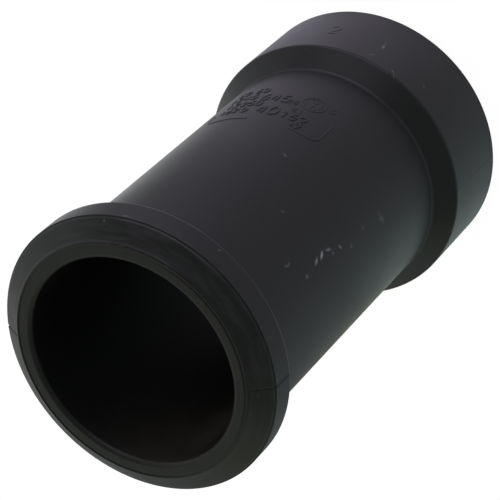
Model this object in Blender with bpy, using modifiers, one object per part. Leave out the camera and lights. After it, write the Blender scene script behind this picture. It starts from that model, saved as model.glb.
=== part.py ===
"""Soil pipe adapter for 2 inch drain pipe, moulded in one piece of black ABS.

A plastic pipe is cemented into the wide hub at one end. The other end is a spigot with a raised,
chamfered bead, which goes into the hub of a cast-iron soil pipe and is sealed there with a gasket.

Metres, +Z up. The adapter stands on the rim of its hub: the bore's axis is the Z axis, the rim lies at
Z = 0 and the beaded end is on top. The body is one section turned around Z.
"""

import math

import bpy
from mathutils import Matrix, Vector

# Hub: the socket that takes the plastic pipe
PIPE_RADIUS = 0.03016  # outside of the pipe
MOUTH_CLEARANCE = 0.00016  # radial, so that the pipe starts easily
BASE_SQUEEZE = 0.00008  # radial, so that the pipe wedges before it bottoms
SOCKET_DEPTH = 0.01905
STOP_LEDGE = 0.00425  # radial width of the ledge that stops the pipe's end
HUB_WALL = 0.00455  # at the mouth
HUB_FLOOR = 0.0040  # from the ledge to the hub's front edge

# Spigot: the plain barrel and the bead at its end
BARREL_WALL = 0.0043
BARREL_LENGTH = 0.0845  # from the foot of the shoulder to the back of the bead
SHOULDER_LENGTH = 0.0048  # the cone from the barrel out to the hub
BEAD_HEIGHT = 0.0047  # radial, above the barrel
BEAD_WIDTH = 0.0068
CHAMFER_LENGTH = 0.0037  # from the bead's band to the end face
END_FACE_WIDTH = 0.0037  # from the bore to the chamfer

# Radii of the rounded edges
HUB_EDGE_ROUND = 0.0019
RIM_EDGE_ROUND = 0.0007
MOUTH_EDGE_ROUND = 0.0006
LEDGE_EDGE_ROUND = 0.0004
BORE_EDGE_ROUND = 0.0012
CHAMFER_EDGE_ROUND = 0.0003
BEAD_EDGE_ROUND = 0.0003
BEAD_BACK_ROUND = 0.0016
BARREL_ROOT_ROUND = 0.0008
SOCKET_ROOT_ROUND = 0.0005

FLATS_PER_TURN = 96
DEGREES_PER_FLAT = 30.0  # along a rounded edge
SEAM_WELD = 0.00001  # joins the last flat of the turn to the first

ABS_BLACK = (0.012, 0.012, 0.013, 1.0)
ABS_ROUGHNESS = 0.4


def clear_scene():
    for item in list(bpy.data.objects):
        bpy.data.objects.remove(item, do_unlink=True)


def moulded_abs():
    """Black ABS as it leaves the mould: a smooth, half-matt plastic."""
    material = bpy.data.materials.new("moulded_abs")
    material.use_nodes = True
    shader = material.node_tree.nodes["Principled BSDF"]
    shader.inputs["Base Color"].default_value = ABS_BLACK
    shader.inputs["Roughness"].default_value = ABS_ROUGHNESS
    shader.inputs["Metallic"].default_value = 0.0
    material.diffuse_color = ABS_BLACK
    return material


def adapter_corners():
    """The section's corners and their edge radii, down the outside and up the inside."""
    bore = PIPE_RADIUS - STOP_LEDGE
    barrel = bore + BARREL_WALL
    bead = barrel + BEAD_HEIGHT
    socket_mouth = PIPE_RADIUS + MOUTH_CLEARANCE
    socket_base = PIPE_RADIUS - BASE_SQUEEZE
    hub = socket_mouth + HUB_WALL
    hub_front = SOCKET_DEPTH + HUB_FLOOR
    shoulder_foot = hub_front + SHOULDER_LENGTH
    bead_back = shoulder_foot + BARREL_LENGTH
    bead_front = bead_back + BEAD_WIDTH
    end_face = bead_front + CHAMFER_LENGTH
    return [
        (Vector((bore + END_FACE_WIDTH, end_face)), CHAMFER_EDGE_ROUND),
        (Vector((bead, bead_front)), BEAD_EDGE_ROUND),
        (Vector((bead, bead_back)), BEAD_BACK_ROUND),
        (Vector((barrel, bead_back)), BARREL_ROOT_ROUND),
        (Vector((barrel, shoulder_foot)), BARREL_ROOT_ROUND),
        (Vector((hub, hub_front)), HUB_EDGE_ROUND),
        (Vector((hub, 0.0)), RIM_EDGE_ROUND),
        (Vector((socket_mouth, 0.0)), MOUTH_EDGE_ROUND),
        (Vector((socket_base, SOCKET_DEPTH)), SOCKET_ROOT_ROUND),
        (Vector((bore, SOCKET_DEPTH)), LEDGE_EDGE_ROUND),
        (Vector((bore, end_face)), BORE_EDGE_ROUND),
    ]


def corner_arc(before, corner, after, edge_round):
    """Points of the arc that touches both sides of a corner, from the first side to the second.

    The radius is limited to what half of the shorter side can hold.
    """
    to_before = before - corner
    to_after = after - corner
    half_angle = to_before.angle(to_after) / 2
    room = min(to_before.length, to_after.length) / 2
    edge_round = min(edge_round, room * math.tan(half_angle))
    middle = (to_before.normalized() + to_after.normalized()).normalized()
    centre = corner + middle * edge_round / math.sin(half_angle)
    spoke = corner + to_before.normalized() * edge_round / math.tan(half_angle) - centre
    turn = math.copysign(math.pi - 2 * half_angle, to_after.cross(to_before))
    flats = math.ceil(math.degrees(abs(turn)) / DEGREES_PER_FLAT)
    return [centre + Matrix.Rotation(turn * step / flats, 2) @ spoke for step in range(flats + 1)]


def rounded(corners):
    """The closed outline through the corners, each one rounded by its own radius."""
    outline = []
    for index, (corner, edge_round) in enumerate(corners):
        before = corners[index - 1][0]
        after = corners[(index + 1) % len(corners)][0]
        outline += corner_arc(before, corner, after, edge_round)
    return outline


def turned_body(name, outline, material, collection):
    """A closed outline in the XZ plane, turned once around Z."""
    mesh = bpy.data.meshes.new(name)
    count = len(outline)
    edges = [(index, (index + 1) % count) for index in range(count)]
    mesh.from_pydata([(point.x, 0.0, point.y) for point in outline], edges, [])
    mesh.materials.append(material)
    body = bpy.data.objects.new(name, mesh)
    collection.objects.link(body)
    turn = body.modifiers.new("Turn", "SCREW")
    turn.axis = "Z"
    turn.angle = 2 * math.pi
    turn.steps = FLATS_PER_TURN
    turn.render_steps = FLATS_PER_TURN
    turn.use_merge_vertices = True
    turn.merge_threshold = SEAM_WELD
    turn.use_smooth_shade = True
    return body


def main():
    clear_scene()
    collection = bpy.data.collections.new("abs_soil_pipe_adapter")
    bpy.context.scene.collection.children.link(collection)
    turned_body("adapter_body", rounded(adapter_corners()), moulded_abs(), collection)


main()
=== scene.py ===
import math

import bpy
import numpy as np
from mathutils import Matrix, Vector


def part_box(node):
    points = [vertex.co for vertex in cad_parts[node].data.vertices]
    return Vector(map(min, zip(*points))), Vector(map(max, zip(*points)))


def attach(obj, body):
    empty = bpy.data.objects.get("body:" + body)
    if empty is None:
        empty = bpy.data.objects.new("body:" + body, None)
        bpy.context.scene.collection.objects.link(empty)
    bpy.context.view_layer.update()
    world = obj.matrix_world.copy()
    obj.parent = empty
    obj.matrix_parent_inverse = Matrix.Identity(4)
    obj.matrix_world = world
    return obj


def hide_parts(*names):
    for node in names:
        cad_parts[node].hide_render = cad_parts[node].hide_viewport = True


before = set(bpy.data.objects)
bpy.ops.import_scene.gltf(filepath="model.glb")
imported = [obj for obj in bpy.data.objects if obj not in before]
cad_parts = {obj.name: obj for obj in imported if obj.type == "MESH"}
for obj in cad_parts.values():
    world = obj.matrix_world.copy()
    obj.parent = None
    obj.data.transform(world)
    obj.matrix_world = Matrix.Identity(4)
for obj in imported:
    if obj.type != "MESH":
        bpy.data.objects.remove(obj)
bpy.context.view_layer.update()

# %% [markdown]
# # A soil pipe adapter, moulded in black ABS
#
# This fitting joins a 2 inch plastic drain pipe to a cast-iron soil pipe. It is one moulding: a hub with
# a socket that the plastic pipe is cemented into, a plain barrel, and a raised, chamfered bead that a
# gasket grips inside the iron hub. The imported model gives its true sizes. This lesson gives it the smooth
# skin, the mould's marks and the scuffs of a real one, and lights it on a bright table.

MM = 0.001
BODY_NODE = "adapter_body"
low, high = (np.array(corner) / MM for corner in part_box(BODY_NODE))
TOP = high[2]  # the end face of the beaded end
BEAD_RADIUS = (high[0] - low[0]) / 2
print(f"the adapter is {TOP:.2f} mm tall, and its bead is {2 * BEAD_RADIUS:.2f} mm across")

# %% [markdown]
# ## The section
#
# Everything on the adapter is round, so one section through its wall describes it. The section is a loop
# of corners, given as a radius and a height, and each corner is rounded as the mould's steel was. The
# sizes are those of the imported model, in millimetres, counted from its top and its bead. Three edges that
# catch the light are rounded a little more or less than there: both ends of the shoulder, and the back of
# the bead.

# %% Corners of the section
BARREL_RADIUS = BEAD_RADIUS - 4.7
BORE_RADIUS = BARREL_RADIUS - 4.3
END_FACE_RADIUS = BORE_RADIUS + 3.7
HUB_RADIUS = 34.87
MOUTH_RADIUS = 30.32
SOCKET_RADIUS = 30.08
BEAD_FRONT = TOP - 3.7
BEAD_BACK = BEAD_FRONT - 6.8
SHOULDER_FOOT = BEAD_BACK - 84.5
HUB_FRONT = SHOULDER_FOOT - 4.8
SOCKET_DEPTH = 19.05

CORNERS = [  # radius, height, radius of the rounded edge
    (SOCKET_RADIUS, SOCKET_DEPTH, 0.5),
    (BORE_RADIUS, SOCKET_DEPTH, 0.4),
    (BORE_RADIUS, TOP, 1.2),
    (END_FACE_RADIUS, TOP, 0.3),
    (BEAD_RADIUS, BEAD_FRONT, 0.3),
    (BEAD_RADIUS, BEAD_BACK, 1.0),
    (BARREL_RADIUS, BEAD_BACK, 0.8),
    (BARREL_RADIUS, SHOULDER_FOOT, 1.5),
    (HUB_RADIUS, HUB_FRONT, 1.1),
    (HUB_RADIUS, 0.0, 0.7),
    (MOUTH_RADIUS, 0.0, 0.6),
]
print(f"{len(CORNERS)} corners, bore {2 * BORE_RADIUS:.1f} mm, barrel {2 * BARREL_RADIUS:.1f} mm across")

# %% [markdown]
# A rounded corner is an arc that touches both of its sides. Its centre lies on the line that halves the
# corner, and the arc turns through what is left of a half turn. The straight sides get points of their
# own, close together next to the arcs and wider apart in the middle, so that smooth shading stays flat on
# them and the skin can be moved a little anywhere.

# %% A rounded outline
ARC_STEPS = 8
STRAIGHT_STEP = 2.2
FEWEST_STEPS, MOST_STEPS, BEAD_FRONT_STEPS = 14, 32, 40


def arc_at(before, corner, after, round_radius):
    """Points on the arc that touches both sides of a corner: centre + spoke turned in even steps."""
    first, second = before - corner, after - corner
    first, second = first / np.linalg.norm(first), second / np.linalg.norm(second)
    half = math.acos(np.clip(first @ second, -1, 1)) / 2
    middle = (first + second) / np.linalg.norm(first + second)
    centre = corner + middle * round_radius / math.sin(half)
    spoke = corner + first * round_radius / math.tan(half) - centre
    turn = math.copysign(math.pi - 2 * half, second[0] * first[1] - second[1] * first[0])
    angle = turn * np.linspace(0, 1, ARC_STEPS + 1)
    across = np.array([-spoke[1], spoke[0]])
    return centre + np.cos(angle)[:, None] * spoke + np.sin(angle)[:, None] * across


def straight_between(start, end):
    """Inner points of a straight side at (1 - cos(pi t)) / 2 of its length, for even steps of t."""
    on_bead_front = min(start[1], end[1]) > BEAD_FRONT - 0.1
    fewest = BEAD_FRONT_STEPS if on_bead_front else FEWEST_STEPS
    count = int(np.clip(np.linalg.norm(end - start) / STRAIGHT_STEP, fewest, MOST_STEPS))
    share = (1 - np.cos(np.pi * np.arange(1, count) / count)) / 2
    return start + share[:, None] * (end - start)


def outline_of(corners):
    """The closed loop of arcs and straight sides, as an array of (radius, height)."""
    at = [np.array(corner[:2]) for corner in corners]
    arcs = [arc_at(at[i - 1], at[i], at[(i + 1) % len(at)], corners[i][2]) for i in range(len(at))]
    pieces = []
    for arc, following in zip(arcs, arcs[1:] + arcs[:1]):
        pieces += [arc, straight_between(arc[-1], following[0])]
    return np.concatenate(pieces)


section = outline_of(CORNERS)
print(f"the outline has {len(section)} points")

# %% [markdown]
# ## The turned skin
#
# A surface of revolution is a grid of two parameters: one runs round the section, the other round the
# axis. A point is (r cos a, r sin a, z). The mould was two half shells that met 45 degrees round from the
# X axis, and each meeting left a fine line, so the angles crowd together there and leave room for it.

# %% Angles round the axis
PARTING_ANGLE = math.radians(45)  # and the same again on the far side
EVEN_ANGLES = 240
LINE_REACH = 0.85  # mm each side of a parting line that gets close angles
CLOSE_ANGLES = 22
KEEP_CLEAR = 1.2  # the even angles stop this many times LINE_REACH from a parting line


def from_parting(angle):
    """The signed turn from the nearer of the two parting lines, between minus and plus a quarter turn."""
    return (angle - PARTING_ANGLE + math.pi / 2) % math.pi - math.pi / 2


close = np.linspace(-LINE_REACH, LINE_REACH, CLOSE_ANGLES) / BEAD_RADIUS
even = np.linspace(0, 2 * math.pi, EVEN_ANGLES, endpoint=False)
open_run = even[np.abs(from_parting(even)) > close[-1] * KEEP_CLEAR]
angles = np.sort(np.concatenate([open_run, PARTING_ANGLE + close, PARTING_ANGLE + math.pi + close]))
print(f"{len(angles)} angles round the axis")

# %% [markdown]
# The parting line is a groove a third of a millimetre wide beside a lower ridge. It is deepest on the
# bead's band, faint on the hub and polished away on the barrel. The bead's chamfer was cut into a separate
# ring of the mould, and its two edges show as fine grooves: one in the end face, with a low ridge outside
# it, and one next to the bead's band. The ring sat a little askew, so each groove runs out on one side.
# All of them are bell curves across their line, given by where the line lies, how wide it is and how deep
# or tall, in millimetres.

# %% Sizes of the lines
PARTING_WIDTH, PARTING_DEPTH = 0.19, 0.2
FAR_SIDE_DEPTH = 1.6  # times that, because the mould's halves closed less well there
CHAMFER_LESS, HUB_SHARE = 0.3, 0.1  # how much shallower on the chamfer, and what is left on the hub
RIDGE_AT, RIDGE_WIDTH, RIDGE_TALL = 0.38, 0.16, 0.05
INNER_AT, INNER_WIDTH, INNER_DEPTH = -0.35, 0.28, 0.2  # from the end face's edge, counted outwards
LIP_AT, LIP_WIDTH, LIP_TALL, LIP_GROWS = 0.3, 0.33, 0.07, 0.09
LIP_LIMIT = 0.8  # how much of the way up to TOP it may fill
INNER_ENDS, INNER_FADE = math.radians(130), math.radians(32)
OUTER_AT, OUTER_WIDTH, OUTER_DEPTH = 0.2, 0.16, 0.24  # above the front of the bead's band
OUTER_DEEPEST = math.radians(80)


# %% Small relief that the mould left
def smoothstep(edge_low, edge_high, value):
    """0 below the first edge, 1 above the second, and 3 t t - 2 t t t between them."""
    t = np.clip((value - edge_low) / (edge_high - edge_low), 0, 1)
    return t * t * (3 - 2 * t)


def bell(distance, width):
    """exp(-(d / w) squared): 1 on the line, and almost nothing at twice its width."""
    return np.exp(-((distance / width) ** 2))


def parting_line(angle, radius, height):
    """How far the skin stands out along the parting line, in mm: a bell-shaped groove and ridge.

    Both fade in and out within a millimetre or two of the edges of the bead and the hub.
    """
    across = from_parting(angle) * radius
    on_bead = smoothstep(BEAD_BACK, BEAD_BACK + 1.5, height) * smoothstep(TOP - 0.05, TOP - 0.5, height)
    on_hub = smoothstep(HUB_FRONT, HUB_FRONT - 1, height) * smoothstep(0.3, 1.2, height)
    past_band = smoothstep(BEAD_FRONT, BEAD_FRONT + 0.4, height)
    depth = PARTING_DEPTH * np.where(np.cos(angle - PARTING_ANGLE) < 0, FAR_SIDE_DEPTH, 1)
    share = on_bead * (1 - CHAMFER_LESS * past_band) + HUB_SHARE * on_hub
    groove = depth * share * bell(across, PARTING_WIDTH)
    ridge = RIDGE_TALL * bell(across - RIDGE_AT, RIDGE_WIDTH) * (on_bead * (1 - past_band) + on_hub)
    return np.where(radius > END_FACE_RADIUS, ridge - groove, 0)


def ring_lines(angle, radius, height):
    """How far the skin stands out along the chamfer's two edges, in mm.

    Each groove is a bell across its line, as deep as its share of the turn says. The inner one, with its
    ridge growing in its place, fades with bell(angle - its end), and the outer one with
    0.4 + 0.6 cos(angle - its deepest place). Next to the end face the ridge keeps below TOP.
    """
    faded = bell(angle - INNER_ENDS, INNER_FADE)
    outwards = radius - END_FACE_RADIUS
    inner = -INNER_DEPTH * (1 - faded) * bell(outwards - INNER_AT, INNER_WIDTH)
    lip = (LIP_TALL + LIP_GROWS * faded) * bell(outwards - LIP_AT, LIP_WIDTH)
    askew = np.clip(0.4 + 0.6 * np.cos(angle - OUTER_DEEPEST), 0, 1)
    outer = -OUTER_DEPTH * askew * bell(height - BEAD_FRONT - OUTER_AT, OUTER_WIDTH)
    return np.where(height > BEAD_FRONT, np.minimum(inner + lip + outer, (TOP - height) * LIP_LIMIT), 0)


def outward_normals(outline):
    """Each outline point's normal: the run from the point before to the point after, turned a quarter."""
    run = np.roll(outline, -1, 0) - np.roll(outline, 1, 0)
    normal = np.stack([-run[:, 1], run[:, 0]], 1)
    return normal / np.linalg.norm(normal, axis=1)[:, None]


def turned(outline, angle):
    """The grid (r cos a, r sin a, z), moved along its normals by the height of the relief."""
    radius, height = outline[:, 0][:, None], outline[:, 1][:, None]
    normal = outward_normals(outline)
    move = parting_line(angle, radius, height) + ring_lines(angle, radius, height)
    radius = radius + move * normal[:, 0][:, None]
    height = height + move * normal[:, 1][:, None]
    return np.stack([radius * np.cos(angle), radius * np.sin(angle), height], -1)


# %% [markdown]
# The grid becomes a mesh with one four-sided face for each cell. Both directions close on themselves, so
# the neighbours come from rolling the index grid. Each corner of a face also gets its place on the
# unrolled skin as a UV pair: how far round the axis, and how far along the section. Two attributes mark
# the chamfer and the bore, for the material.


# %% From grid to mesh
def ring_grid(points):
    """Faces and corners of a grid that closes on itself both ways, with the faces pointing outwards."""
    rows, columns = points.shape[:2]
    index = np.arange(rows * columns).reshape(rows, columns)
    down, along = np.roll(index, -1, 0), np.roll(index, -1, 1)
    faces = np.stack([index, along, np.roll(down, -1, 1), down], -1).reshape(-1, 4)
    return points.reshape(-1, 3), faces.tolist()


def add_piece(name, points, faces):
    """Makes a smooth object from points in mm, and says that it rides on the one moulded body."""
    mesh = bpy.data.meshes.new(name)
    mesh.from_pydata((points * MM).tolist(), [], faces)
    mesh.shade_smooth()
    piece = bpy.data.objects.new(name, mesh)
    bpy.context.scene.collection.objects.link(piece)
    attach(piece, "root")
    return piece


def unrolled_map(mesh, around, along):
    """A UV map named unrolled: u goes once round the axis, and v once along the section."""
    u = np.append(around, around[0] + 2 * math.pi) / (2 * math.pi)
    step = np.linalg.norm(np.roll(along, -1, 0) - along, axis=1)
    v = np.append(0, np.cumsum(step)) / step.sum()
    u0, v0 = np.meshgrid(u[:-1], v[:-1])
    u1, v1 = np.meshgrid(u[1:], v[1:])
    corners = np.stack([[u0, v0], [u1, v0], [u1, v1], [u0, v1]])
    layer = mesh.uv_layers.new(name="unrolled")
    layer.uv.foreach_set("vector", corners.transpose(2, 3, 0, 1).astype(np.float32).ravel())
    return step.sum()


skin = add_piece("adapter_skin", *ring_grid(turned(section, angles)))
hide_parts(BODY_NODE)
SECTION_LENGTH = unrolled_map(skin.data, angles, section)
SECTION_RUN = np.append(0, np.cumsum(np.linalg.norm(np.diff(section, axis=0), axis=1)))
on_chamfer = (section[:, 0] > END_FACE_RADIUS + 0.3) & (section[:, 1] > BEAD_FRONT + 0.1)
in_bore = smoothstep(BORE_RADIUS + 1.0, BORE_RADIUS + 0.1, section[:, 0])  # fades over the rounded mouth
for name, value in (("chamfer", on_chamfer), ("bore", in_bore)):
    place = skin.data.attributes.new(name, "FLOAT", "POINT")
    place.data.foreach_set("value", np.repeat(value, len(angles)).astype(np.float32))
print(f"the skin has {len(skin.data.polygons)} faces, and its section is {SECTION_LENGTH:.1f} mm long")

# %% [markdown]
# ## Raised numbers
#
# Letters cut into the mould stand up from the moulding. This one carries only plain numbers: its sizes
# and a dial for the date. A stroke is a low, rounded ridge carried along a path. The path is drawn flat,
# in millimetres, and then wrapped round the barrel: x becomes an angle, y a height and the ridge's own
# height is added to the radius.

# %% Paths of strokes
LINE_POINTS, ARC_STEP = 8, 8  # points to a unit of length, and degrees to a step


def line(x0, y0, x1, y1):
    """Points from one end of a straight stroke to the other: start + t times the way."""
    t = np.linspace(0, 1, max(2, round(math.hypot(x1 - x0, y1 - y0) * LINE_POINTS)))[:, None]
    return np.array([x0, y0]) + t * np.array([x1 - x0, y1 - y0])


def arc(x, y, across, up, start, end):
    """Points on an ellipse: centre + (across cos a, up sin a), for a from start to end in degrees."""
    a = np.radians(np.linspace(start, end, max(8, round(abs(end - start) / ARC_STEP))))
    return np.stack([x + across * np.cos(a), y + up * np.sin(a)], 1)


DIGIT_STEP = 0.85  # from one digit to the next, in digit heights
DIGITS = {  # strokes in a cell one high and 0.6 wide
    "0": [arc(0.3, 0.5, 0.3, 0.5, 90, 450)],
    "1": [line(0.1, 0.78, 0.34, 1.0), line(0.34, 1.0, 0.34, 0.0)],
    "2": [
        np.concatenate([arc(0.3, 0.7, 0.29, 0.3, 165, -30), line(0.5, 0.5, 0.02, 0.0)]),
        line(0.02, 0, 0.6, 0),
    ],
    "4": [line(0.46, 0, 0.46, 1), line(0.46, 1, 0.0, 0.3), line(0.0, 0.3, 0.62, 0.3)],
    "5": [
        line(0.55, 1, 0.1, 1),
        np.concatenate([line(0.1, 1, 0.05, 0.56), arc(0.28, 0.33, 0.3, 0.33, 130, -150)]),
    ],
    "6": [arc(0.3, 0.31, 0.29, 0.31, 0, 360), arc(0.62, 0.34, 0.61, 0.66, 178, 100)],
}


def number(text, x, y, tall):
    """The strokes of a number whose lower left corner is at x, y, scaled from cells one high."""
    starts = x + DIGIT_STEP * tall * np.arange(len(text))
    return [stroke * tall + [start, y] for start, digit in zip(starts, text) for stroke in DIGITS[digit]]


# %% [markdown]
# The ridge's cross-section is half an ellipse above the skin and half of another below it, so that it is
# closed and sits in the wall. Its width shrinks as a circle does at each end, which rounds the ends.


# %% A ridge along a path
STROKE_STEP = 0.3  # mm
RIDGE_SIDES = 12
ROOT_DEPTH = 0.15  # mm that a stroke reaches into the wall


def even_path(path, width):
    """The path at even steps, with closer ones near both ends, where the ridge narrows."""
    run = np.append(0, np.cumsum(np.linalg.norm(np.diff(path, axis=0), axis=1)))
    near = width / 2 * (1 - np.cos(np.linspace(0.35, math.pi / 2, 4)))
    middle = np.linspace(near[-1], run[-1] - near[-1], max(2, round(run[-1] / STROKE_STEP)))[1:-1]
    at = np.concatenate([near, middle, run[-1] - near[::-1]])
    return np.stack([np.interp(at, run, path[:, k]) for k in (0, 1)], 1), at, run[-1]


def ridge(path, width, tall):
    """Rows of (x, y, lift): path + side * c * w / 2, lift = tall * s, for (c, s) once round a circle."""
    middle, at, length = even_path(path, width)
    way = np.gradient(middle, axis=0)
    side = np.stack([way[:, 1], -way[:, 0]], 1) / np.linalg.norm(way, axis=1)[:, None]
    to_end = np.minimum(np.minimum(at, length - at) / (width / 2), 1)
    narrow = np.sqrt(1 - (1 - to_end) ** 2)[:, None]
    a = np.linspace(0, 2 * math.pi, RIDGE_SIDES, endpoint=False)
    lift = np.where(np.sin(a) > 0, tall, ROOT_DEPTH) * np.sin(a)
    flat = middle[:, None] + side[:, None] * (np.cos(a) * narrow * width / 2)[..., None]
    return np.concatenate([flat, (narrow * lift)[..., None]], 2)


def tube_faces(rows, columns, first):
    """Faces round a tube of rows rings, each of that many columns, with a cap at both ends."""
    index = first + np.arange(rows * columns).reshape(rows, columns)
    along = np.roll(index, -1, 1)
    sides = np.stack([index[:-1], index[1:], along[1:], along[:-1]], -1).reshape(-1, 4)
    return sides.tolist() + [index[0].tolist(), index[-1][::-1].tolist()]


def wrapped(flat, radius, angle, height):
    """(x, y, lift) on a drum: a = angle - x / radius, r = radius + lift and z = height - y."""
    turn = angle - flat[..., 0] / radius
    out = radius + flat[..., 2]
    return np.stack([out * np.cos(turn), out * np.sin(turn), height - flat[..., 1]], -1)


def raised(name, strokes, radius, angle, height):
    """One piece from (path, width, tall) strokes, wrapped round the drum of the given radius."""
    points, faces, first = [], [], 0
    for path, width, tall in strokes:
        rows = wrapped(ridge(path, width, tall), radius, math.radians(angle), height)
        faces += tube_faces(*rows.shape[:2], first)
        first += rows.shape[0] * rows.shape[1]
        points.append(rows.reshape(-1, 3))
    piece = add_piece(name, np.concatenate(points), faces)
    print(f"{name}: {len(strokes)} strokes, {len(faces)} faces")
    return piece


# %% [markdown]
# The panel of numbers stands near the hub, with its top towards the hub. It gives the two sizes of the
# joint in inches and millimetres and some plain sizes, and holds a moulder's date dial: a ring with a mark
# for each month and an arrow. Two thin round corners close it below. The hub carries the size once more.

# %% What the panel holds
PANEL_ANGLE, PANEL_HEIGHT = 136.5, 47.5
HUB_NUMBER_ANGLE, HUB_NUMBER_HEIGHT = 138.5, 12.7
BOLD_STROKE, SMALL_STROKE = (0.66, 0.17), (0.5, 0.11)  # width and height
DIAL_STROKE, RIM_STROKE, HUB_STROKE = (0.5, 0.09), (0.55, 0.12), (0.8, 0.08)
LEFT_RIM_TOP, LEFT_RIM_END, RIGHT_RIM_START, RIGHT_RIM_TOP = -4, -3, 8, -1  # where its two parts break off


def rim_parts(half_wide, half_tall, corner):
    """Two lower corners of a rectangle as quarter arcs, each with the start of the sides next to it."""
    x, y = half_wide - corner, half_tall - corner
    left, right = arc(-x, -y, corner, corner, 180, 270), arc(x, -y, corner, corner, 270, 360)
    left_side = line(-half_wide, LEFT_RIM_TOP, *left[0])
    left_foot = line(*left[-1], LEFT_RIM_END, -half_tall)
    right_foot = line(RIGHT_RIM_START, -half_tall, *right[0])
    right_side = line(*right[-1], half_wide, RIGHT_RIM_TOP)
    return [
        np.concatenate([left_side[:-1], left, left_foot[1:]]),
        np.concatenate([right_foot[:-1], right, right_side[1:]]),
    ]


def date_dial(x, y, size):
    """A ring, twelve short marks inside it, and an arrow of three strokes."""
    ring = arc(x, y, size, size, 0, 372)
    month = np.radians(np.arange(0, 360, 30))
    inner, outer = 0.66 * size, 0.8 * size
    marks = [
        line(x + inner * c, y + inner * s, x + outer * c, y + outer * s)
        for c, s in zip(np.cos(month), np.sin(month))
    ]
    reach, head = 0.45 * size, 0.22 * size
    tip = y + reach
    shaft = line(x, y - reach, x, tip)
    barbs = [line(x, tip, x - head, tip - head), line(x, tip, x + head, tip - head)]
    return [ring, *marks, shaft, *barbs]


bold = number("60", -9.4, 5.8, 2.4) + number("50", -14.6, 5.6, 2.4) + number("1", -15.2, 2.0, 2.6)
bold += number("245", -13.2, 2.0, 2.6) + number("645", -5.4, 1.0, 3.3) + number("12", -14.2, -1.9, 2.6)
bold += number("250", -9.4, -2.2, 2.5) + number("40", -3.0, -6.2, 3.8) + number("162", -14.0, -5.6, 2.4)
bold += number("0", -7.2, -6.0, 2.4) + number("162", 3.6, -6.2, 2.9) + number("12", 7.4, -8.7, 1.9)
small = number("26", 2.0, 1.0, 1.9) + number("41", 4.8, -2.4, 2.0) + number("5", 12.4, 3.6, 2.2)
dial, rim = date_dial(8.2, 3.6, 3.1), rim_parts(15.8, 9.8, 2.4)
groups = ((bold, BOLD_STROKE), (small, SMALL_STROKE), (dial, DIAL_STROKE), (rim, RIM_STROKE))
panel = [(stroke, *size) for strokes, size in groups for stroke in strokes]
barrel_numbers = raised("barrel_numbers", panel, BARREL_RADIUS, PANEL_ANGLE, PANEL_HEIGHT)
hub_strokes = [(stroke, *HUB_STROKE) for stroke in number("2", -1.4, -2.1, 4.2)]
hub_number = raised("hub_number", hub_strokes, HUB_RADIUS, HUB_NUMBER_ANGLE, HUB_NUMBER_HEIGHT)

# %% [markdown]
# ## Moulded ABS
#
# ABS is a tough, slightly waxy plastic, coloured through with carbon black. It comes off polished steel
# with a satin gloss: it shows soft reflections, and next to none of its own colour.

# %% Colours and a helper for nodes


def linear(hex_colour):
    """An sRGB hex value as the linear numbers that Blender works in."""
    srgb = np.array([int(hex_colour[i : i + 2], 16) for i in (1, 3, 5)]) / 255
    value = np.where(srgb <= 0.04045, srgb / 12.92, ((srgb + 0.055) / 1.055) ** 2.4)
    return (*value.tolist(), 1.0)


def add_node(tree, kind, settings=None, inputs=None, links=None):
    """Adds a node, sets its properties and inputs, and links other nodes' outputs to its inputs."""
    node = tree.nodes.new(kind)
    for key, value in (settings or {}).items():
        setattr(node, key, value)
    for key, value in (inputs or {}).items():
        node.inputs[key].default_value = value
    for key, output in (links or {}).items():
        tree.links.new(output, node.inputs[key])
    return node


# %% [markdown]
# ## Scuffs
#
# This adapter has been handled: pipes and tools left short white scuffs, where the plastic is stretched
# and torn and scatters light instead of mirroring it. Each one is an ellipse on the unrolled skin, most of
# them about half a millimetre wide. A scuff is listed by where it starts and ends, as an angle round the
# axis in degrees and a height in millimetres.

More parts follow.
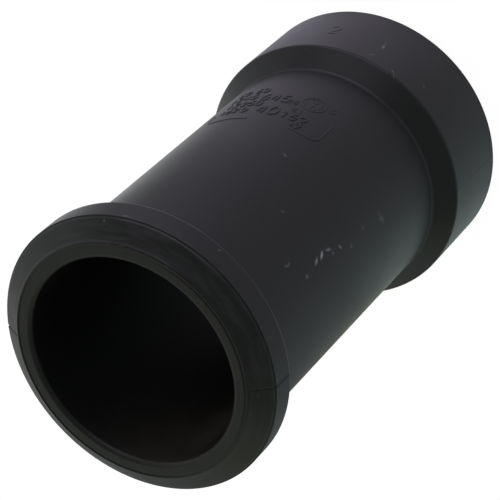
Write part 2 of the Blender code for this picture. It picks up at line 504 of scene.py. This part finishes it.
# %% Where the scuffs are
SCUFFS = [  # angle and height at one end, at the other end, width in mm, strength
    (67.5, 85.7, 69.4, 83.8, 0.6, 0.8),
    (67.6, 82.8, 69.9, 81, 0.66, 0.95),
    (69.2, 80, 67.6, 77.6, 0.6, 0.6),
    (65.9, 77.4, 64.9, 77.8, 0.6, 0.45),
    (66.2, 74.4, 64.2, 73.8, 0.6, 0.6),
    (62.3, 69.3, 60.2, 69.9, 0.6, 0.35),
    (77.1, 95.6, 76, 94.7, 0.6, 0.36),
    (76, 94.7, 76.9, 93.5, 0.6, 0.36),
    (66.5, 90.4, 66.5, 90, 0.8, 0.45),
    (113.7, 67.2, 111, 67.9, 0.6, 0.4),
    (118, 54.7, 117.2, 53.9, 0.43, 0.3),
    (61.6, 54.6, 58.6, 53.2, 1.3, 0.34),
    (64, 54.2, 62.6, 54, 1.1, 0.22),
    (64.5, 62.9, 63.2, 62.7, 0.9, 0.25),
    (94.8, 84.6, 94.2, 84.2, 0.7, 0.3),
    (13.1, 38.8, 17.8, 38.2, 0.36, 0.35),
    (12.1, 46, 12.1, 38, 0.32, 0.35),
    (132.5, 105.2, 131.5, 105.2, 0.58, 0.25),
    (154.3, 60.6, 154.3, 60, 0.5, 0.3),
    (115.4, 15.1, 115.9, 13.1, 0.45, 0.55),
    (115.9, 13.1, 116.2, 11.2, 0.4, 0.3),
    (117.9, 20.6, 115.2, 18.8, 0.32, 0.4),
    (106.3, 20.5, 104, 21.8, 0.32, 0.45),
    (104, 21.8, 102.8, 23.2, 0.32, 0.35),
    (107.9, 22.6, 105.4, 23.1, 0.32, 0.25),
    (92.4, 16.7, 91, 17.9, 0.36, 0.35),
    (143.2, 4.5, 141.7, 4.5, 0.43, 0.3),
    (136.1, 118.6, 134, 118.2, 0.43, 0.4),
    (143.3, 119.9, 142.9, 119.7, 0.36, 0.4),
    (99.9, 114.3, 99.3, 113.8, 0.4, 0.4),
    (143, 122.7, 137, 122.6, 0.29, 0.2),
    (135.3, 122.6, 131.4, 122.6, 0.29, 0.25),
    (43.4, 121.6, 41.9, 121.2, 0.6, 0.2),
    (47.4, 118.8, 48, 117.9, 0.5, 0.3),
]
FACE_EDGE = np.argmin(np.hypot(section[:, 0] - END_FACE_RADIUS, section[:, 1] - TOP))
RIM = np.argmin(np.hypot(section[:, 0] - HUB_RADIUS, section[:, 1]))
OUTER = (np.arange(len(section)) >= FACE_EDGE) & (np.arange(len(section)) <= RIM)


def place_on_skin(angle, height, side=OUTER):
    """Millimetres on the unrolled skin: angle times the barrel's radius, and the run along the section."""
    nearest = np.argmin(np.where(side, np.abs(section[:, 1] - height), 1000))
    near = slice(max(nearest - 1, 0), nearest + 2)
    order = np.argsort(section[near, 1])
    run = np.interp(height, section[near, 1][order], SECTION_RUN[near][order])
    return np.array([math.radians(angle) * BARREL_RADIUS, run])


print(f"{len(SCUFFS)} scuffs; the longest is {max(abs(s[1] - s[3]) for s in SCUFFS):.1f} mm tall")


# %% A scuff as nodes
def scuff_marks(tree, flat):
    """The strongest scuff at each point: strength times (1 - distance from its middle in half lengths)."""
    strongest = None
    for angle, height, end_angle, end_height, width, strength in SCUFFS:
        start, end = place_on_skin(angle, height), place_on_skin(end_angle, end_height)
        run, middle = end - start, (start + end) / 2
        half = np.linalg.norm(run) / 2 + width
        turn = math.atan2(run[1], run[0])
        near = add_node(
            tree,
            "ShaderNodeMapping",
            {"vector_type": "TEXTURE"},
            {"Location": (*middle, 0), "Rotation": (0, 0, turn), "Scale": (half, width, 1)},
            {"Vector": flat},
        )
        spot = add_node(
            tree, "ShaderNodeTexGradient", {"gradient_type": "SPHERICAL"}, links={0: near.outputs[0]}
        )
        spot = add_node(
            tree, "ShaderNodeMath", {"operation": "MULTIPLY"}, {1: strength}, {0: spot.outputs[1]}
        )
        if strongest:
            spot = add_node(
                tree, "ShaderNodeMath", {"operation": "MAXIMUM"}, links={0: spot.outputs[0], 1: strongest}
            )
        strongest = spot.outputs[0]
    return strongest


# %% [markdown]
# A tear in plastic has a ragged edge, so a fine noise pushes the scuffs' places about by a fraction of a
# millimetre. Specks of dust, a quarter of a millimetre across and some six apart, are pale too.

# %% Scuffs and specks
RAGGED_SIZE, RAGGED_REACH = 0.7, 0.35  # mm
SCUFF_FAINT, SCUFF_PALE = 0.02, 0.85  # the strength where a scuff begins to show, and how pale it gets
SPECK_SPACING, SPECK_PALE = 6.5, 0.16  # mm, and how pale a speck is
SPECK_EDGE, SPECK_CORE = 0.03, 0.01  # radii, as shares of the spacing


def flat_skin(tree):
    """The unrolled skin in millimetres: the UV map times the way round the barrel and along the section."""
    unrolled = add_node(tree, "ShaderNodeUVMap", {"uv_map": "unrolled"})
    lengths = (2 * math.pi * BARREL_RADIUS, SECTION_LENGTH, 0)
    flat = add_node(tree, "ShaderNodeMapping", inputs={"Scale": lengths}, links={0: unrolled.outputs[0]})
    return flat.outputs[0]


def pale_marks(tree, flat):
    """How pale each point is: the scuffs or the specks, whichever are stronger."""
    ragged = add_node(
        tree, "ShaderNodeTexNoise", inputs={"Scale": 1 / RAGGED_SIZE, "Detail": 2}, links={0: flat}
    )
    shift = add_node(
        tree,
        "ShaderNodeVectorMath",
        {"operation": "MULTIPLY_ADD"},
        {1: (RAGGED_REACH, RAGGED_REACH, 0)},
        {0: ragged.outputs[1], 2: flat},
    )
    scuffed = add_node(
        tree,
        "ShaderNodeMapRange",
        {"interpolation_type": "SMOOTHSTEP"},
        {"From Min": SCUFF_FAINT, "From Max": 1.0, "To Max": SCUFF_PALE},
        {"Value": scuff_marks(tree, shift.outputs[0])},
    )
    grains = add_node(
        tree, "ShaderNodeTexVoronoi", inputs={"Scale": 1 / SPECK_SPACING}, links={0: shift.outputs[0]}
    )
    speck = add_node(
        tree,
        "ShaderNodeMapRange",
        inputs={"From Min": SPECK_EDGE, "From Max": SPECK_CORE, "To Max": SPECK_PALE},
        links={"Value": grains.outputs["Distance"]},
    )
    pale = add_node(
        tree, "ShaderNodeMath", {"operation": "MAXIMUM"}, links={0: speck.outputs[0], 1: scuffed.outputs[0]}
    )
    return pale.outputs[0]


# %% [markdown]
# The chamfer rubs on everything the fitting is dropped into, so it is duller, with streaks that run round
# it: noise stretched to 8 mm along the edge and 1.8 mm across it.

# %% Streaks on the chamfer
STREAK_LONG, STREAK_WIDE = 8, 1.8  # mm
STREAK_NONE, STREAK_FULL = 0.42, 0.72  # levels of the noise


def chamfer_streaks(tree, flat):
    """How strong the streaks are: stretched noise between two levels, times the chamfer's attribute."""
    stretched = add_node(
        tree, "ShaderNodeMapping", inputs={"Scale": (1 / STREAK_LONG, 1 / STREAK_WIDE, 0)}, links={0: flat}
    )
    noise = add_node(
        tree,
        "ShaderNodeTexNoise",
        inputs={"Scale": 1, "Detail": 4, "Roughness": 0.55},
        links={0: stretched.outputs[0]},
    )
    streak = add_node(
        tree,
        "ShaderNodeMapRange",
        inputs={"From Min": STREAK_NONE, "From Max": STREAK_FULL},
        links={0: noise.outputs[0]},
    )
    chamfer = add_node(tree, "ShaderNodeAttribute", {"attribute_name": "chamfer"})
    streaks = add_node(
        tree,
        "ShaderNodeMath",
        {"operation": "MULTIPLY"},
        links={0: streak.outputs[0], 1: chamfer.outputs["Fac"]},
    )
    return streaks.outputs[0]


# %% [markdown]
# A painted warm glow lies on one side of the bore: a brownish colour that stands for light falling in
# there. It is brightest a little below the mouth and fades deeper in. It is the sum of two patches that
# overlap and a cloudy noise, and what stays under a level is cut off, so that the glow thins out to
# nothing.

# %% Painted glow in the bore
PAINTED_GLOW_PATCHES = [  # angle and height of a patch's middle, reach round and along the bore in mm, strength
    (345, 104, 10, 16, 0.75),
    (325, 112, 26, 34, 0.6),
]
PAINTED_GLOW_NOISE, PAINTED_GLOW_CLOUD = 0.3, 5  # strength, and size in mm
PAINTED_GLOW_NONE, PAINTED_GLOW_FULL = 0.17, 1.2  # what the sum has to reach
IN_BORE = np.abs(section[:, 0] - BORE_RADIUS) < 0.01


def painted_bore_glow(tree, flat):
    """How strong the painted glow is: noise + strength * (1 - distance / reach) for each patch, in the bore
    only.
    """
    cloud = add_node(
        tree, "ShaderNodeTexNoise", inputs={"Scale": 1 / PAINTED_GLOW_CLOUD, "Detail": 2}, links={0: flat}
    )
    glow_sum = add_node(
        tree, "ShaderNodeMath", {"operation": "MULTIPLY"}, {1: PAINTED_GLOW_NOISE}, {0: cloud.outputs[0]}
    )
    for angle, height, reach_round, reach_along, strength in PAINTED_GLOW_PATCHES:
        near = add_node(
            tree,
            "ShaderNodeMapping",
            {"vector_type": "TEXTURE"},
            {"Location": (*place_on_skin(angle, height, IN_BORE), 0), "Scale": (reach_round, reach_along, 1)},
            {0: flat},
        )
        patch = add_node(
            tree, "ShaderNodeTexGradient", {"gradient_type": "SPHERICAL"}, links={0: near.outputs[0]}
        )
        glow_sum = add_node(
            tree,
            "ShaderNodeMath",
            {"operation": "MULTIPLY_ADD"},
            {1: strength},
            {0: patch.outputs[1], 2: glow_sum.outputs[0]},
        )
    glow_sum = add_node(
        tree,
        "ShaderNodeMapRange",
        inputs={"From Min": PAINTED_GLOW_NONE, "From Max": PAINTED_GLOW_FULL},
        links={0: glow_sum.outputs[0]},
    )
    bore = add_node(tree, "ShaderNodeAttribute", {"attribute_name": "bore"})
    painted_warmth = add_node(
        tree, "ShaderNodeMath", {"operation": "MULTIPLY"}, links={0: glow_sum.outputs[0], 1: bore.outputs["Fac"]}
    )
    return painted_warmth.outputs[0]


# %% [markdown]
# ## The body's material
#
# The marks above follow the surface, so they read the unrolled map in millimetres. The plastic's own look
# is read in Object coordinates, in metres: its gloss is uneven, because it shrank from the steel in places,
# and its skin has the finest lumps. The raised numbers wear the same plastic, but they have no unrolled map
# and no attributes, so no mark falls on them.

# %% The body's material
# The third colour is not the plastic's own: it is a painted warm glow on one side of the bore.
ABS_BLACK, ABS_WORN, BORE_PAINTED_GLOW = "#161617", "#9da0a3", "#4c4640"
ABS_IOR, ABS_SHINE = 1.5, 0.3  # index of refraction and specular level
SMOOTHEST, DULLEST = 0.36, 0.46  # roughness
STREAK_PALE, STREAK_DULL, SCUFF_DULL = 0.045, 0.16, 0.35
GLOSS_CLOUD, LUMP_SIZE, LUMP_DEPTH = 0.012, 0.0016, 0.00002  # m
LUMP_SHARE = 0.35  # how much of that depth the light sees


def moulded_abs():
    """Injection-moulded black ABS: a deep black under an even satin gloss, rubbed dull at the chamfer."""
    material = bpy.data.materials.new("injection_moulded_abs")
    material.use_nodes = True
    tree = material.node_tree
    shader = tree.nodes["Principled BSDF"]
    shader.inputs["IOR"].default_value = ABS_IOR
    shader.inputs["Specular IOR Level"].default_value = ABS_SHINE

    flat = flat_skin(tree)
    pale, streaks = pale_marks(tree, flat), chamfer_streaks(tree, flat)
    paler = add_node(
        tree, "ShaderNodeMath", {"operation": "MULTIPLY_ADD"}, {1: STREAK_PALE}, {0: streaks, 2: pale}
    )
    colour = add_node(
        tree,
        "ShaderNodeMix",
        {"data_type": "RGBA"},
        {6: linear(ABS_BLACK), 7: linear(ABS_WORN)},
        {0: paler.outputs[0]},
    )
    # The painted warm glow in the bore is mixed over the plastic's colour.
    warm_glowed = add_node(
        tree,
        "ShaderNodeMix",
        {"data_type": "RGBA"},
        {7: linear(BORE_PAINTED_GLOW)},
        {0: painted_bore_glow(tree, flat), 6: colour.outputs[2]},
    )
    tree.links.new(warm_glowed.outputs[2], shader.inputs["Base Color"])

    place = add_node(tree, "ShaderNodeTexCoord").outputs["Object"]
    cloud = add_node(
        tree, "ShaderNodeTexNoise", inputs={"Scale": 1 / GLOSS_CLOUD, "Detail": 3}, links={0: place}
    )
    gloss = add_node(
        tree,
        "ShaderNodeMapRange",
        inputs={"To Min": SMOOTHEST, "To Max": DULLEST},
        links={0: cloud.outputs[0]},
    )
    dull = add_node(
        tree, "ShaderNodeMath", {"operation": "MULTIPLY_ADD"}, {1: SCUFF_DULL}, {0: pale, 2: gloss.outputs[0]}
    )
    duller = add_node(
        tree,
        "ShaderNodeMath",
        {"operation": "MULTIPLY_ADD"},
        {1: STREAK_DULL},
        {0: streaks, 2: dull.outputs[0]},
    )
    tree.links.new(duller.outputs[0], shader.inputs["Roughness"])

    peel = add_node(
        tree, "ShaderNodeTexNoise", inputs={"Scale": 1 / LUMP_SIZE, "Detail": 2}, links={0: place}
    )
    lumps = add_node(
        tree,
        "ShaderNodeBump",
        inputs={"Strength": LUMP_SHARE, "Distance": LUMP_DEPTH},
        links={"Height": peel.outputs[0]},
    )
    tree.links.new(lumps.outputs[0], shader.inputs["Normal"])
    return material


black_plastic = moulded_abs()
for piece in (skin, barrel_numbers, hub_number):
    piece.data.materials.append(black_plastic)
print(f"the plastic's colour is {ABS_BLACK}, and its material has {len(black_plastic.node_tree.nodes)} nodes")

# %% [markdown]
# ## The table and the light
#
# A black, glossy thing shows its surroundings more than its own colour, so the surroundings matter. It
# stands on white paper that softboxes light from low down: a strong one to one side, with a weaker one
# above it, a wide one in front, and fainter ones round the back. The paper's glow is painted light: pools
# of it where the boxes would light the paper, which the plastic mirrors on its sides: violet on the side
# of the strong box, greenish on the other. Each pool fades evenly from its middle, and one of them is
# negative, a painted shade behind the adapter.
# The air above is dim, so surfaces that look up stay darker. To the camera the paper is plain white, with a
# faint shadow where the adapter stands.

# %% Pools of light on the paper
PAPER_GLOW, PAPER_TINT = 0.385, "#f0f7fa"
PAPER_COLOUR, PAPER_ROUGH, PAPER_WHITE = "#f0f0f0", 0.9, 1.14  # lit paper, and an even white
PAPER_PLAIN = 0.84  # how much of what the camera sees is the even white
POOLS = [  # direction in degrees, distance and reach in m, brightness, colour
    (155, 0.75, 0.62, 5.3, "#f0e2ff"),
    (0, 0.60, 0.45, 1.9, "#d8ffea"),
    (45, 0.70, 0.45, 0.85, "#e0fff8"),
    (240, 0.55, 0.38, 0.75, "#fcfff4"),
    (118, 0.045, 0.04, 0.25, "#f2e4ff"),
    (172, 0.05, 0.06, 0.58, "#f2e2ff"),
    (229, 0.105, 0.066, 1.3, "#ffffff"),
    (208, 0.80, 0.50, 1.3, "#f4f4ff"),
    (2, 0.05, 0.06, 0.31, "#d0fff0"),
    (302, 0.065, 0.048, 0.5, "#fff090"),
    (85, 0.28, 0.30, 0.24, "#f8dcff"),
    (284, 0.12, 0.10, -0.28, "#ffffff"),
    (90, 0.0, 0.055, 0.12, "#f4f8ff"),
]
# Painted shade: the paper's glow is dimmed inside the hub, where less light would reach it.
SHADED_RADIUS, SHADED_FADE = 0.034, 0.002  # m; less light reaches the paper inside the hub
SHADED_SHARE = 0.52


def pool_glow(tree):
    """The paper's glow: an even part plus, for each pool, brightness times (1 - distance / reach)."""
    place = add_node(tree, "ShaderNodeTexCoord")
    even = [PAPER_GLOW * share for share in linear(PAPER_TINT)[:3]]
    total = None
    for direction, distance, reach, brightness, colour in POOLS:
        x, y = distance * math.cos(math.radians(direction)), distance * math.sin(math.radians(direction))
        near = add_node(
            tree,
            "ShaderNodeMapping",
            {"vector_type": "TEXTURE"},
            {"Location": (x, y, 0), "Scale": (reach, reach, 1)},
            {0: place.outputs["Object"]},
        )
        spot = add_node(
            tree, "ShaderNodeTexGradient", {"gradient_type": "SPHERICAL"}, links={0: near.outputs[0]}
        )
        tint = [brightness * share for share in linear(colour)[:3]]
        total = add_node(
            tree,
            "ShaderNodeVectorMath",
            {"operation": "MULTIPLY_ADD"},
            {1: tint, 2: even},
            {0: spot.outputs[0]} if total is None else {0: spot.outputs[0], 2: total},
        ).outputs[0]
    middle = add_node(
        tree, "ShaderNodeVectorMath", {"operation": "LENGTH"}, links={0: place.outputs["Object"]}
    )
    lit = add_node(
        tree,
        "ShaderNodeMapRange",
        inputs={
            "From Min": SHADED_RADIUS,
            "From Max": SHADED_RADIUS + SHADED_FADE,
            "To Min": SHADED_SHARE,
        },
        links={"Value": middle.outputs["Value"]},
    )
    shaded = add_node(
        tree, "ShaderNodeVectorMath", {"operation": "SCALE"}, links={0: total, "Scale": lit.outputs[0]}
    )
    return shaded.outputs[0]


def lit_paper():
    """Matt white paper: its glow for every ray but the camera's, which gets white and a faint shadow."""
    material = bpy.data.materials.new("white_paper")
    material.use_nodes = True
    tree = material.node_tree
    shader = tree.nodes["Principled BSDF"]
    shader.inputs["Base Color"].default_value = linear(PAPER_COLOUR)
    shader.inputs["Roughness"].default_value = PAPER_ROUGH
    white = add_node(tree, "ShaderNodeEmission", inputs={"Strength": PAPER_WHITE})
    seen = add_node(
        tree,
        "ShaderNodeMixShader",
        inputs={0: PAPER_PLAIN},
        links={1: shader.outputs[0], 2: white.outputs[0]},
    )
    glow = add_node(tree, "ShaderNodeEmission", links={"Color": pool_glow(tree)})
    ray = add_node(tree, "ShaderNodeLightPath")
    paper = add_node(
        tree,
        "ShaderNodeMixShader",
        links={0: ray.outputs["Is Camera Ray"], 1: glow.outputs[0], 2: seen.outputs[0]},
    )
    tree.links.new(paper.outputs[0], tree.nodes["Material Output"].inputs["Surface"])
    return material


FLOOR_HALF = 3.0
floor_mesh = bpy.data.meshes.new("floor")
floor_corners = [(x * FLOOR_HALF, y * FLOOR_HALF, 0.0) for x, y in ((-1, -1), (1, -1), (1, 1), (-1, 1))]
floor_mesh.from_pydata(floor_corners, [], [(0, 1, 2, 3)])
floor_mesh.materials.append(lit_paper())
floor = bpy.data.objects.new("floor", floor_mesh)
bpy.context.scene.collection.objects.link(floor)
print(f"{len(POOLS)} pools of light on a sheet {2 * FLOOR_HALF:.0f} m across")

# %% [markdown]
# Each softbox is a rectangular lamp 0.9 m from the axis and facing it. The list says how it looks from the
# adapter, all in degrees: which way it lies, where its lower and upper edges are above the paper, and how
# wide it is. Its size follows from these, and its power from its size and how bright its face is.

# %% Softboxes
SOFTBOX_DISTANCE = 0.9
SOFTBOXES = [  # name, direction, lower and upper edge, width, brightness, colour
    ("side", 137, 0.5, 14, 46, 3.5, "#f0e6ff"),
    ("high side", 140, 14, 42, 50, 0.65, "#f2ecff"),
    ("front", 62, 0.5, 12, 84, 0.8, "#e4f4ff"),
    ("low side", 205, 0.5, 26, 56, 0.55, "#f8f8ff"),
    ("back", 250, 32, 60, 110, 0.6, "#f6fff0"),
    ("window", 328, 4, 50, 56, 0.3, "#f4ffd4"),
    ("far side", 265, 0.5, 14, 50, 0.9, "#fffff2"),
]


def softbox(name, direction, lowest, highest, wide, brightness, colour):
    """A rectangle of even brightness B facing the axis: its power is pi times B times its area."""
    middle = math.radians((lowest + highest) / 2)
    turn = math.radians(direction)
    lamp = bpy.data.lights.new(name, "AREA")
    lamp.shape = "RECTANGLE"
    lamp.size = 2 * SOFTBOX_DISTANCE * math.cos(middle) * math.tan(math.radians(wide / 2))
    lamp.size_y = 2 * SOFTBOX_DISTANCE * math.tan(math.radians((highest - lowest) / 2))
    lamp.energy = brightness * math.pi * lamp.size * lamp.size_y
    lamp.color = linear(colour)[:3]
    item = bpy.data.objects.new(name, lamp)
    out = SOFTBOX_DISTANCE * math.cos(middle)
    item.location = (out * math.cos(turn), out * math.sin(turn), SOFTBOX_DISTANCE * math.sin(middle))
    item.rotation_euler = (math.pi / 2 - middle, 0, turn + math.pi / 2)
    bpy.context.scene.collection.objects.link(item)
    return item


for name, *shape in SOFTBOXES:
    box = softbox(name, *shape)
    print(f"{name} softbox: {box.data.size:.2f} by {box.data.size_y:.2f} m, {box.data.energy:.2f} W")

# %% [markdown]
# The rest of the room is an even, dim grey with a trace of green, so the parts of the plastic that look up
# stay dark. Past the paper's edge the camera sees white.

# %% World
SKY_LEVEL, SKY_TINT = 0.27, "#f8fff6"
world = bpy.data.worlds.new("dim_room")
bpy.context.scene.world = world
world.use_nodes = True
world_tree = world.node_tree
background = world_tree.nodes["Background"]
ray = add_node(world_tree, "ShaderNodeLightPath")
tint = add_node(
    world_tree,
    "ShaderNodeMix",
    {"data_type": "RGBA"},
    {6: linear(SKY_TINT), 7: (1, 1, 1, 1)},
    {0: ray.outputs["Is Camera Ray"]},
)
world_tree.links.new(tint.outputs[2], background.inputs["Color"])
level = add_node(
    world_tree,
    "ShaderNodeMapRange",
    inputs={"To Min": SKY_LEVEL, "To Max": 1.0},
    links={"Value": ray.outputs["Is Camera Ray"]},
)
world_tree.links.new(level.outputs[0], background.inputs["Strength"])
print(f"the room is {SKY_LEVEL} as bright as white")

# %% [markdown]
# The camera looks down on the beaded end from half a metre away, through a long lens. It is rolled, so that
# the adapter lies aslant in the picture. The colours go to the screen as they are.

# %% Camera
SENSOR_WIDTH, LENS = 36, 160.86  # mm
CAMERA_PLACE = (-0.01278, 0.35137, 0.47219)  # m
CAMERA_TURN = (-30.832, 28.408, 40.655)  # degrees round x, y and z
camera_data = bpy.data.cameras.new("camera")
camera_data.sensor_width = SENSOR_WIDTH
camera_data.lens = LENS
camera = bpy.data.objects.new("camera", camera_data)
camera.location = CAMERA_PLACE
camera.rotation_euler = [math.radians(angle) for angle in CAMERA_TURN]
bpy.context.scene.collection.objects.link(camera)
bpy.context.scene.camera = camera
bpy.context.scene.view_settings.view_transform = "Standard"
to_end_face = math.dist(CAMERA_PLACE, (0, 0, TOP * MM))
field = 2 * math.degrees(math.atan(SENSOR_WIDTH / 2 / LENS))
print(f"the camera is {to_end_face:.2f} m from the end face and sees {field:.1f} degrees")
